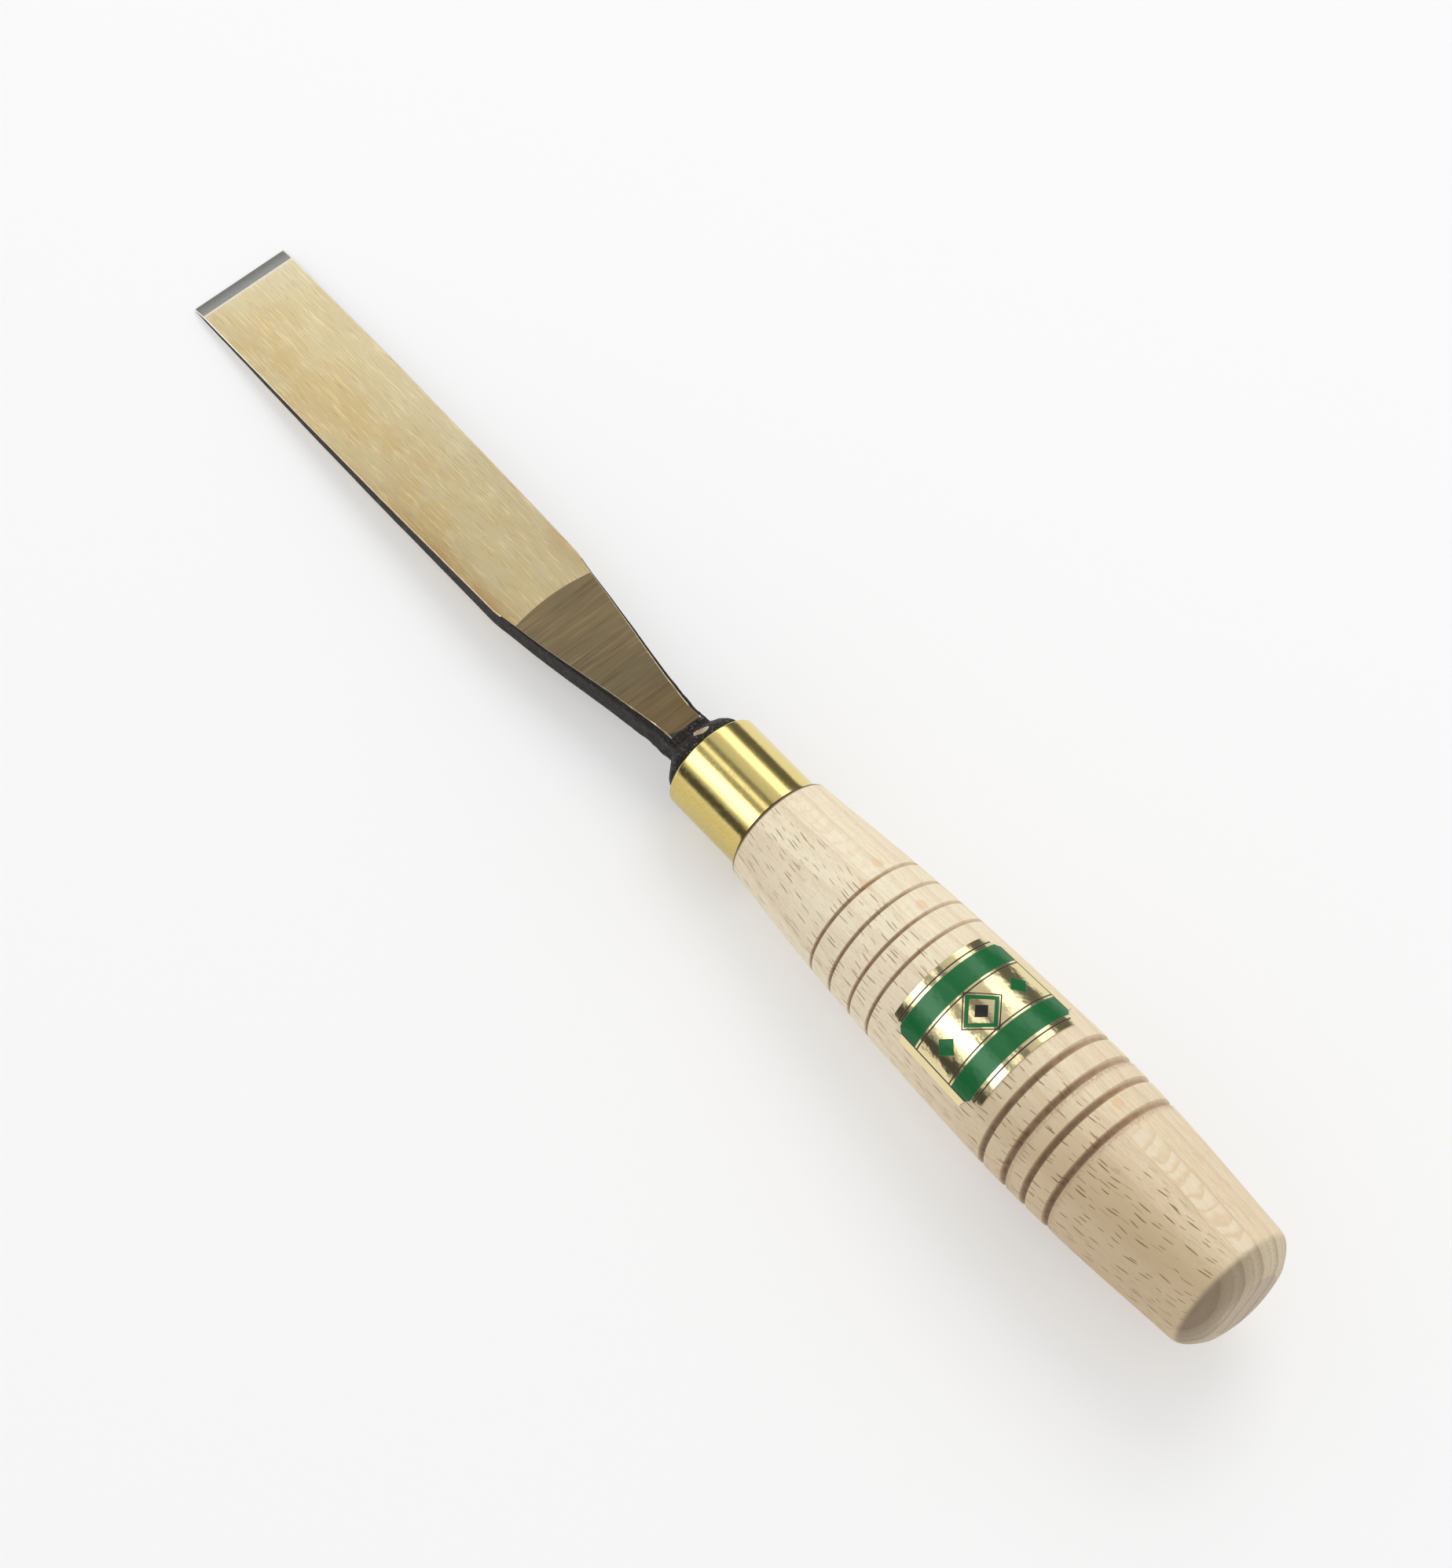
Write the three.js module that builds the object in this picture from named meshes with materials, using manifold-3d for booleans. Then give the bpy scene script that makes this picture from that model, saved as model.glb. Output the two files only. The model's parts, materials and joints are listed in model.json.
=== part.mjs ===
// A carver's bench chisel: forged blade with bolster and tang, brass ferrule, turned beech handle
// with burnt grooves, and a foil label.  Millimetres, +Z up.
//
// Every piece is drawn along the tool's own axis: X runs from the cutting edge to the butt, with
// X = 0 at the front rim of the ferrule, Y is the blade's width and Z its thickness.  The whole tool
// is then tilted until it lies on a flat surface, on the blade's lower heel and the handle's belly.

import * as THREE from 'three';
import { mergeVertices } from 'three/addons/utils/BufferGeometryUtils.js';
import Module from 'manifold-3d';

const wasm = await Module();
wasm.setup();

// ---------------------------------------------------------------- driving dimensions

const BLADE = {
  edgeX: -133.3,           // the cutting edge
  edgeWidth: 20.3,
  bevelLength: 3,          // along the tool, the same on both faces
  heelThickness: 1.2,      // where the bevels end
  shoulderX: -47,          // where the blade starts to narrow
  shoulderThickness: 4.3,
  cornerRound: 0.2,
};

const NECK = {
  facetX: -42.4,           // where the cross-ground facets start to rise from the blade's faces
  facetEndX: -8,
  facetEndThickness: 6.6,  // over the two facets
  facetSteps: 7,
  endX: -3,                // inside the bolster
  endRound: 1,
  // half width of the forging from the shoulder to the bolster
  halfWidths: [[-47, 9.4], [-42.4, 8.8], [-30, 7.05], [-17, 5.1], [-9, 4.2], [-3, 4.1]],
};

const BOLSTER = { height: 4.6, radius: 8, footHeight: 0.4, steps: 10 };

const TANG = { length: 60, rootWidth: 6.6, tipWidth: 3.2, cornerRound: 0.4 };

const FERRULE = { length: 17.1, outerRadius: 9.5, wall: 1, edgeRound: 0.25 };

const HANDLE = {
  shoulderRound: 0.5,      // of the edge at the ferrule
  // radius of the turned body from the ferrule to the butt
  radii: [[17.4, 10.45], [44, 12.8], [71, 14.1], [85, 14.45], [99, 14.1], [125.6, 12.3]],
  // the rounded butt from the end of the body to its flat middle, then that flat's centre
  butt: [[125.6, 12.3], [126.5, 12.05], [127.6, 11.3], [128.7, 10], [129.6, 8.5], [130.3, 6.6]],
  buttEndX: 130.6,
  bodySteps: 14,
  buttSteps: 10,
};

const GROOVES = [
  { centres: [39.8, 44.85, 50.05, 54.75], width: 0.8, depth: 0.4 },
  { centres: [83.8, 88.95, 93.5, 98.6], width: 1.4, depth: 0.6 },
];

const LABEL = {
  centreX: 69.5,
  length: 21.4,            // along the tool
  girth: 116,              // degrees round the handle
  turn: 8,                 // degrees from straight up, towards -Y
  notch: 3.2,              // radius of the four hollow corners
  thickness: 0.12,
  lift: 0.05,
  columns: 40,             // mesh steps round the handle
  rows: 2,                 // and along it
};

const FIT_GAP = 0.3;       // where a driven or seated joint is drawn just clear
const SLIDE_GAP = 0.1;     // between the ferrule and the handle's spigot
const SEGMENTS = 40;       // facets round every turned surface
const CORNER_STEPS = 4;    // facets round a quarter corner
const EDGE_STEPS = 3;      // facets round a turned piece's small edges

// ---------------------------------------------------------------- geometry helpers

// Closed triangle mesh with shared vertices and no collapsed triangles.
function welded(geometry) {
  const bare = geometry.clone();
  bare.deleteAttribute('normal');
  bare.deleteAttribute('uv');
  const merged = mergeVertices(bare, 1e-5);
  const source = merged.index.array;
  const kept = [];
  for (let i = 0; i < source.length; i += 3) {
    const [a, b, c] = source.slice(i, i + 3);
    if (a !== b && b !== c && c !== a) kept.push(a, b, c);
  }
  merged.setIndex(kept);
  return merged;
}

function toSolid(geometry) {
  const mesh = welded(geometry);
  return new wasm.Manifold(new wasm.Mesh({
    numProp: 3,
    vertProperties: new Float32Array(mesh.attributes.position.array),
    triVerts: new Uint32Array(mesh.index.array),
  }));
}

function toGeometry(solid) {
  const mesh = solid.getMesh();
  const geometry = new THREE.BufferGeometry();
  geometry.setAttribute('position', new THREE.BufferAttribute(mesh.vertProperties, 3));
  geometry.setIndex(new THREE.BufferAttribute(mesh.triVerts, 1));
  geometry.computeVertexNormals();
  return geometry;
}

// A solid of revolution about X from [x, radius] points.
function turned(profile) {
  const points = profile.map(([x, radius]) => new THREE.Vector2(radius, x));
  return new THREE.LatheGeometry(points, SEGMENTS).rotateZ(-Math.PI / 2);
}

// Points of an arc in the [x, radius] plane, angles in degrees from +X towards +radius.
function arc(centreX, centreR, radius, fromDegrees, toDegrees, steps) {
  return Array.from({ length: steps + 1 }, (_, i) => {
    const angle = THREE.MathUtils.degToRad(fromDegrees + (toDegrees - fromDegrees) * i / steps);
    return [centreX + radius * Math.cos(angle), centreR + radius * Math.sin(angle)];
  });
}

// Smooth curve through [x, value] points, returned as value(x).
function smooth(points) {
  const curve = new THREE.SplineCurve(points.map(([x, value]) => new THREE.Vector2(x, value)));
  const samples = curve.getPoints(200);
  return (x) => {
    const next = samples.findIndex((point) => point.x >= x);
    if (next <= 0) return samples[next === 0 ? 0 : samples.length - 1].y;
    const [before, after] = [samples[next - 1], samples[next]];
    return THREE.MathUtils.mapLinear(x, before.x, after.x, before.y, after.y);
  };
}

// One cross-section of the forging: a rectangle with elliptical quarter-round corners.
function sectionRing({ x, halfWidth, halfThickness, roundY, roundZ }) {
  const ring = [];
  for (let quarter = 0; quarter < 4; quarter++) {
    const middle = (quarter + 0.5) * Math.PI / 2;
    const centreY = Math.sign(Math.cos(middle)) * (halfWidth - roundY);
    const centreZ = Math.sign(Math.sin(middle)) * (halfThickness - roundZ);
    for (let step = 0; step <= CORNER_STEPS; step++) {
      const angle = (quarter + step / CORNER_STEPS) * Math.PI / 2;
      ring.push([x, centreY + roundY * Math.cos(angle), centreZ + roundZ * Math.sin(angle)]);
    }
  }
  return ring;
}

// Closed solid through a row of cross-sections.  The first one may have no thickness: an edge.
function loft(sections) {
  const rings = sections.map(sectionRing);
  const count = rings[0].length;
  const index = [];
  for (let k = 0; k + 1 < rings.length; k++) {
    for (let i = 0; i < count; i++) {
      const next = (i + 1) % count;
      const [a, b] = [k * count + i, k * count + next];
      index.push(a, b, a + count, b, b + count, a + count);
    }
  }
  const last = (rings.length - 1) * count;
  for (let i = 1; i + 1 < count; i++) {
    if (sections[0].halfThickness > 0) index.push(0, i + 1, i);
    index.push(last, last + i, last + i + 1);
  }
  const geometry = new THREE.BufferGeometry();
  geometry.setAttribute('position', new THREE.Float32BufferAttribute(rings.flat(2), 3));
  geometry.setIndex(index);
  return geometry;
}

// ---------------------------------------------------------------- blade

function bladeSections() {
  const heelX = BLADE.edgeX + BLADE.bevelLength;
  const round = BLADE.cornerRound;
  const edge = { x: BLADE.edgeX, halfWidth: BLADE.edgeWidth / 2, halfThickness: 0, roundY: round, roundZ: 0 };
  const heel = {
    x: heelX,
    halfWidth: BLADE.edgeWidth / 2,
    halfThickness: BLADE.heelThickness / 2,
    roundY: round,
    roundZ: round,
  };
  return [edge, heel];
}

// From the shoulder to the bolster the flat faces turn into two narrowing facets on a rounded neck.
function neckSections() {
  const { facetX, facetEndX, facetSteps, endX } = NECK;
  const halfWidth = smooth(NECK.halfWidths);
  const taper = (BLADE.shoulderThickness - BLADE.heelThickness) / 2
    / (BLADE.shoulderX - BLADE.edgeX - BLADE.bevelLength);
  const facetStart = BLADE.shoulderThickness / 2 + taper * (facetX - BLADE.shoulderX);
  const rise = (NECK.facetEndThickness / 2 - facetStart) / (facetEndX - facetX);
  const facets = Array.from({ length: facetSteps + 1 }, (_, i) => (
    THREE.MathUtils.lerp(facetX, facetEndX, i / facetSteps)
  ));
  return [BLADE.shoulderX, ...facets, endX].map((x) => {
    const along = THREE.MathUtils.clamp((x - BLADE.shoulderX) / (facetEndX - BLADE.shoulderX), 0, 1);
    const round = THREE.MathUtils.lerp(BLADE.cornerRound, NECK.endRound, along);
    return {
      x,
      halfWidth: halfWidth(x),
      halfThickness: x <= facetX
        ? BLADE.shoulderThickness / 2 + taper * (x - BLADE.shoulderX)
        : facetStart + rise * (Math.min(x, facetEndX) - facetX),
      roundY: round,
      roundZ: round,
    };
  });
}

function tangSections(clearance) {
  const square = (x, width) => ({
    x,
    halfWidth: width / 2 + clearance,
    halfThickness: width / 2 + clearance,
    roundY: TANG.cornerRound,
    roundZ: TANG.cornerRound,
  });
  return [square(-1, TANG.rootWidth), square(TANG.length + clearance, TANG.tipWidth)];
}

// The bolster is a low dome with a short straight foot that closes the mouth of the ferrule.
function bolster() {
  const { height, radius, footHeight, steps } = BOLSTER;
  const dome = Array.from({ length: steps + 1 }, (_, i) => {
    const angle = (i / steps) * Math.PI / 2;
    return [-footHeight - height * Math.cos(angle), radius * Math.sin(angle)];
  });
  return turned([...dome, [0, radius], [0, 0]]);
}

function blade() {
  const forging = toSolid(loft([...bladeSections(), ...neckSections()]));
  const seat = toSolid(bolster());
  const tang = toSolid(loft(tangSections(0)));
  return toGeometry(forging.add(seat).add(tang));
}

// ---------------------------------------------------------------- ferrule

function ferrule() {
  const { length, outerRadius, wall, edgeRound } = FERRULE;
  const inner = outerRadius - wall;
  const frontEdge = arc(edgeRound, outerRadius - edgeRound, edgeRound, 180, 90, EDGE_STEPS);
  const backEdge = arc(length - edgeRound, outerRadius - edgeRound, edgeRound, 90, 0, EDGE_STEPS);
  return turned([[0, inner], ...frontEdge, ...backEdge, [length, inner], [0, inner]]);
}

// ---------------------------------------------------------------- handle

const bodyRadius = smooth(HANDLE.radii);
const bodyStartX = HANDLE.radii[0][0];
const bodyEndX = HANDLE.radii[HANDLE.radii.length - 1][0];

// A groove is a small U cut into the turned body.
function groovePoints(centre, { width, depth }) {
  const surface = (x) => [x, bodyRadius(x)];
  const floor = (x) => [x, bodyRadius(x) - depth];
  return [
    surface(centre - width / 2),
    floor(centre - width / 5),
    floor(centre + width / 5),
    surface(centre + width / 2),
  ];
}

function bodyPoints() {
  const grooves = GROOVES.flatMap((group) => group.centres.map((centre) => ({ centre, ...group })));
  const clearOfGrooves = (x) => grooves.every(({ centre, width }) => Math.abs(x - centre) > width);
  const plain = [];
  for (let i = 1; i <= HANDLE.bodySteps; i++) {
    const x = THREE.MathUtils.lerp(bodyStartX, bodyEndX, i / HANDLE.bodySteps);
    if (clearOfGrooves(x)) plain.push([x, bodyRadius(x)]);
  }
  const cut = grooves.flatMap((groove) => groovePoints(groove.centre, groove));
  return [...plain, ...cut].sort((a, b) => a[0] - b[0]);
}

// The butt: a rounded shoulder round a nearly flat middle.
function buttPoints() {
  const curve = new THREE.SplineCurve(HANDLE.butt.map(([x, radius]) => new THREE.Vector2(x, radius)));
  const shoulder = curve.getPoints(HANDLE.buttSteps).slice(1);
  return [...shoulder.map((point) => [point.x, point.y]), [HANDLE.buttEndX, 0]];
}

function handle() {
  const spigot = FERRULE.outerRadius - FERRULE.wall - SLIDE_GAP;
  const shoulderRound = arc(
    bodyStartX + HANDLE.shoulderRound,
    bodyRadius(bodyStartX) - HANDLE.shoulderRound,
    HANDLE.shoulderRound,
    180,
    95,
    EDGE_STEPS,
  );
  const body = turned([
    [FIT_GAP, 0],
    [FIT_GAP, spigot],
    [bodyStartX, spigot],
    ...shoulderRound,
    ...bodyPoints(),
    ...buttPoints(),
  ]);
  const bore = loft(tangSections(FIT_GAP));
  return toGeometry(toSolid(body).subtract(toSolid(bore)));
}

// ---------------------------------------------------------------- label

// Radius of the handle's many-sided surface at an angle from straight up.
function facetRadius(radius, angle) {
  const step = 2 * Math.PI / SEGMENTS;
  const fromMiddle = THREE.MathUtils.euclideanModulo(angle, step) - step / 2;
  return radius * Math.cos(step / 2) / Math.cos(fromMiddle);
}

// A thin rectangle with hollow corners, wrapped round the handle.
function label() {
  const halfGirth = THREE.MathUtils.degToRad(LABEL.girth / 2);
  const turn = THREE.MathUtils.degToRad(LABEL.turn);
  const arcRadius = bodyRadius(LABEL.centreX);
  const { columns, rows } = LABEL;
  const point = (column, row, lift) => {
    const angle = THREE.MathUtils.lerp(-halfGirth, halfGirth, column / columns);
    const fromEnd = (halfGirth - Math.abs(angle)) * arcRadius;
    const hollow = Math.sqrt(Math.max(0, LABEL.notch ** 2 - fromEnd ** 2));
    const x = LABEL.centreX + (LABEL.length / 2 - hollow) * (2 * row / rows - 1);
    const radius = facetRadius(bodyRadius(x), angle + turn) + lift;
    return [x, -radius * Math.sin(angle + turn), radius * Math.cos(angle + turn)];
  };
  const vertices = [];
  const sheets = [LABEL.lift, LABEL.lift + LABEL.thickness];
  for (const lift of sheets) {
    for (let column = 0; column <= columns; column++) {
      for (let row = 0; row <= rows; row++) vertices.push(...point(column, row, lift));
    }
  }
  const id = (sheet, column, row) => (sheet * (columns + 1) + column) * (rows + 1) + row;
  const index = [];
  const quad = (a, b, c, d) => index.push(a, c, b, a, d, c);
  for (let column = 0; column < columns; column++) {
    for (let row = 0; row < rows; row++) {
      quad(id(1, column, row), id(1, column, row + 1), id(1, column + 1, row + 1), id(1, column + 1, row));
      quad(id(0, column, row), id(0, column + 1, row), id(0, column + 1, row + 1), id(0, column, row + 1));
    }
    quad(id(0, column, 0), id(1, column, 0), id(1, column + 1, 0), id(0, column + 1, 0));
    quad(id(0, column, rows), id(0, column + 1, rows), id(1, column + 1, rows), id(1, column, rows));
  }
  for (let row = 0; row < rows; row++) {
    quad(id(0, 0, row), id(0, 0, row + 1), id(1, 0, row + 1), id(1, 0, row));
    quad(id(0, columns, row), id(1, columns, row), id(1, columns, row + 1), id(0, columns, row + 1));
  }
  const geometry = new THREE.BufferGeometry();
  geometry.setAttribute('position', new THREE.Float32BufferAttribute(vertices, 3));
  geometry.setIndex(index);
  geometry.computeVertexNormals();
  return geometry;
}

// ---------------------------------------------------------------- assembly

function piece(name, geometry, color, roughness, metalness) {
  const mesh = new THREE.Mesh(geometry, new THREE.MeshStandardMaterial({ color, roughness, metalness }));
  mesh.name = name;
  return mesh;
}

// Tilt at which the lower heel of the blade and the belly of the handle touch one flat surface.
function restingTilt() {
  const heelX = BLADE.edgeX + BLADE.bevelLength;
  let tilt = 0;
  for (let x = bodyStartX; x <= bodyEndX; x += 0.5) {
    tilt = Math.max(tilt, Math.atan2(bodyRadius(x) - BLADE.heelThickness / 2, x - heelX));
  }
  return tilt;
}

const tool = new THREE.Group();
tool.add(
  piece('blade', blade(), 0xc9b78c, 0.35, 1),
  piece('ferrule', ferrule(), 0xd8bf5a, 0.15, 1),
  piece('handle', handle(), 0xe4cfae, 0.6, 0),
  piece('label', label(), 0xc9b45c, 0.25, 0.8),
);
tool.rotation.y = -restingTilt();
tool.updateMatrixWorld(true);

// Origin on the surface, below the middle of the tool.
const bounds = new THREE.Box3().setFromObject(tool, true);
const middle = bounds.getCenter(new THREE.Vector3());
tool.position.set(-middle.x, -middle.y, -bounds.min.z);

const chisel = new THREE.Group();
chisel.add(tool);

export default chisel;
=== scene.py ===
"""A carver's bench chisel: blade, ferrule, handle and label with procedural materials.

Pieces are drawn along the tool's own axes, in millimetres: X = 0 at the ferrule's front rim and
grows towards the butt, Y is the blade's width and Z its thickness.  TOOL carries them to the frame.
"""

import json
import math

import bmesh
import bpy
import numpy as np
from mathutils import Matrix, Vector, noise


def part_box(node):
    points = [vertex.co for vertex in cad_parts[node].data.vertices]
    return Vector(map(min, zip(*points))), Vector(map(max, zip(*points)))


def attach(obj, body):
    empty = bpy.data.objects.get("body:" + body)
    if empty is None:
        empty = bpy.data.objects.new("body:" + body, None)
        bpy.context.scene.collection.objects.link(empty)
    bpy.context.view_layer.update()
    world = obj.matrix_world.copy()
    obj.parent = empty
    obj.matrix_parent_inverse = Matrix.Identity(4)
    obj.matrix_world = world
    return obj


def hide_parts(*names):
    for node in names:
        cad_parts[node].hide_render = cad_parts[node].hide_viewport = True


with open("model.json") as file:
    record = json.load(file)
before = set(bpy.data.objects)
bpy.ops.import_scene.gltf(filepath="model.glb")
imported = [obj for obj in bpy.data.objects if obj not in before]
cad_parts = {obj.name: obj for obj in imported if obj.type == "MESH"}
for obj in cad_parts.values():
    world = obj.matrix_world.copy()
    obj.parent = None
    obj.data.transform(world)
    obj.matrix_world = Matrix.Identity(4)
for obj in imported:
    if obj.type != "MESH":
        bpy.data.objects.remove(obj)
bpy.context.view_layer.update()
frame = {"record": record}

MM = 0.001

# ---------------------------------------------------------------- sizes, millimetres

EDGE_X = -133.3
BEVEL_END_X = -130.7
HEEL_X = -130.15          # a bright honed strip lies between the bevel and the face
BEVEL_END_THICKNESS = 1.0
HEEL_THICKNESS = 1.2
SHOULDER_X = -47.0
SHOULDER_THICKNESS = 4.3
BLADE_CORNER = 0.16       # the ground-off corners along the blade
FACET_X = -42.5           # where the neck's ground facets start, on the centre line
FACET_BOW = 1.05          # how much later they start FACET_BOW_Y to either side
FACET_BOW_Y = 9.0
FACET_STEADY_X = -8.0     # the facets stop rising here
FACET_END_X = -6.6        # and end here, at the bolster
FACET_END_Y = 0.6         # the middle of that end, which bends forward at its sides
FACET_END_HALF_WIDTH = 4.0
FACET_END_MOST_BOW = 1.5
FACET_END_THICKNESS = 6.6
BLADE_HALF_WIDTHS = [(-134, 10.15), (-100, 10.12), (-80, 9.92), (-58, 9.58), (-47, 9.36)]
NECK_HALF_WIDTHS = [(-48, 9.4), (-47, 9.36), (-42.4, 8.75), (-36, 7.95), (-30, 7.05), (-17, 5.05),
                    (-9, 4.15), (-3, 4.1)]
NECK_CORNER = 1.0
# the forging wanders this far sideways from the handle's line
LEAN = [(-134, 0.1), (-122, 0.04), (-100, -0.16), (-80, -0.37), (-58, -0.52), (-40, -0.7), (-24, -0.55),
        (-9, -0.3), (-3, 0), (0, 0)]
FACET_LEAN = -0.7

BOLSTER_HEIGHT = 4.6
BOLSTER_RADIUS = 8.0
BOLSTER_FOOT = 0.4
BOLSTER_BLEND = 3.6       # how sharply the neck turns into the dome
NICK = (-2.85, 0.2)       # x and y of a small bright spot ground on top of the bolster
NICK_HALF_SIZE = (1.1, 1.75)
NICK_DEPTH = 0.24
TANG_LENGTH = 60.0
TANG_ROOT = 6.6
TANG_TIP = 3.2

FERRULE_LENGTH = 17.1
FERRULE_RADIUS = 9.5
FERRULE_WALL = 1.0
FERRULE_EDGE = 0.25
FERRULE_SEGMENTS = 192

HANDLE_RADII = [(17.4, 10.45), (44, 12.8), (71, 14.1), (85, 14.45), (99, 14.1), (125.6, 12.3)]
HANDLE_SEGMENTS = 200
SPIGOT_START = 0.3
SPIGOT_RADIUS = 8.4
BORE_DEPTH = TANG_LENGTH + 1
BORE_MOUTH_RADIUS = TANG_ROOT / 2 + 1.6
BORE_TIP_RADIUS = TANG_TIP / 2 + 0.9
SHOULDER_ROUND = 0.5
# the rounded butt, from the end of the body to its flat middle
BUTT = [(125.6, 12.3), (126.5, 12.05), (127.6, 11.3), (128.7, 10.0), (129.6, 8.5), (130.1, 6.7)]
BUTT_END_X = 130.4
BUTT_MIDDLE = [(-0.12, 6.1), (-0.03, 5.4), (0, 4.5), (0, 2), (0, 0)]   # x is from BUTT_END_X
END_GRAIN_X = (126.1, 127.2)   # the wood's side turns into its end between these
# centre, width and depth of each burnt groove
GROOVES = [(x, 0.8, 0.4) for x in (39.8, 44.85, 50.05, 54.75)]
GROOVES += [(x, 1.4, 0.6) for x in (83.8, 88.95, 93.5, 98.6)]
TORN_GROOVES = (88.95, 98.6)   # the wood is torn at the rear lip of these two
TORN_LIP = 0.9            # from the groove's centre to its torn lip

LABEL_X = 69.5
LABEL_LENGTH = 21.4
LABEL_GIRTH = 116.0
LABEL_TURN = 8.0
LABEL_NOTCH = 3.2
LABEL_LIFT = 0.05
LABEL_THICKNESS = 0.12
LABEL_RADIUS = 14.1       # of the handle there, for measuring round it


def tool_matrix():
    """The tool lies tilted: half way between its two blade faces, and centred in its ferrule."""
    normals = {mount["name"]: mount["axis"] for mount in frame["record"]["mounts"]}
    upper = math.asin(-normals["upper_blade_face"][0])
    lower = math.asin(normals["lower_blade_face"][0])
    turn = Matrix.Rotation(-(upper + lower) / 2, 4, "Y")
    low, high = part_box("ferrule")
    half_length = FERRULE_LENGTH * MM / 2
    return Matrix.Translation((low + high) / 2) @ turn @ Matrix.Translation((-half_length, 0, 0))


TOOL = tool_matrix()

# ---------------------------------------------------------------- mesh helpers


def spline(points, x):
    """Smooth curve through (x, value) points, read at x."""
    xs, ys = np.array(points, float).T
    slopes = np.gradient(ys, xs)
    x = np.clip(x, xs[0], xs[-1])
    i = np.clip(np.searchsorted(xs, x) - 1, 0, len(xs) - 2)
    step = xs[i + 1] - xs[i]
    t = (x - xs[i]) / step
    return ((2 * t**3 - 3 * t**2 + 1) * ys[i] + (t**3 - 2 * t**2 + t) * step * slopes[i]
            + (3 * t**2 - 2 * t**3) * ys[i + 1] + (t**3 - t**2) * step * slopes[i + 1])


def smoothstep(low, high, x):
    t = np.clip((x - low) / (high - low), 0, 1)
    return t * t * (3 - 2 * t)


def bumps(points, size):
    """Smooth noise, about -1 to 1, at each point, with features of the given size."""
    flat = points.reshape(-1, 3) / size
    return np.array([noise.noise(p) for p in flat]).reshape(points.shape[:-1])


def arc(centre_x, centre_r, radius, start, end, steps):
    angles = np.radians(np.linspace(start, end, steps + 1))
    return [(centre_x + radius * math.cos(a), centre_r + radius * math.sin(a)) for a in angles]


def revolve(profile, segments):
    """Rings round X from (x, radius) points."""
    angle = np.linspace(0, 2 * np.pi, segments, endpoint=False)
    x, radius = np.array(profile, float).T
    same_x = np.outer(x, np.ones_like(angle))
    return np.stack([same_x, np.outer(radius, np.cos(angle)), np.outer(radius, np.sin(angle))], -1)


def closed_piece(name, rings, node, materials, zones=None, sharp=40, points=None):
    """A closed skin over rings of points.  It rides with the tool and stands for one CAD node.

    zones gives each face's material, and points holds named values for each point.
    Points that fall together, such as a ring drawn in to the axis, become one vertex."""
    rows, columns, _ = rings.shape
    grid = np.arange(rows * columns).reshape(rows, columns)
    wrapped = np.roll(grid, -1, 1)
    quads = np.stack([grid[:-1], wrapped[:-1], wrapped[1:], grid[1:]], -1).reshape(-1, 4)
    mesh = bpy.data.meshes.new(name)
    mesh.from_pydata((rings.reshape(-1, 3) * MM).tolist(), [], quads.tolist())
    mesh.transform(TOOL)
    for material in materials:
        mesh.materials.append(material)
    if zones is not None:
        mesh.polygons.foreach_set("material_index", zones.reshape(-1).astype(np.int32))
    for key, values in (points or {}).items():
        attribute = mesh.attributes.new(key, "FLOAT", "POINT")
        attribute.data.foreach_set("value", values.reshape(-1).astype(np.float32))
    work = bmesh.new()
    work.from_mesh(mesh)
    bmesh.ops.remove_doubles(work, verts=work.verts, dist=1e-7)
    bmesh.ops.recalc_face_normals(work, faces=work.faces)
    work.to_mesh(mesh)
    work.free()
    mesh.shade_smooth()
    mesh.set_sharp_from_angle(angle=math.radians(sharp))
    obj = bpy.data.objects.new(name, mesh)
    bpy.context.scene.collection.objects.link(obj)
    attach(obj, "root")
    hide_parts(node)
    return obj


# ---------------------------------------------------------------- shader helpers


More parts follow.
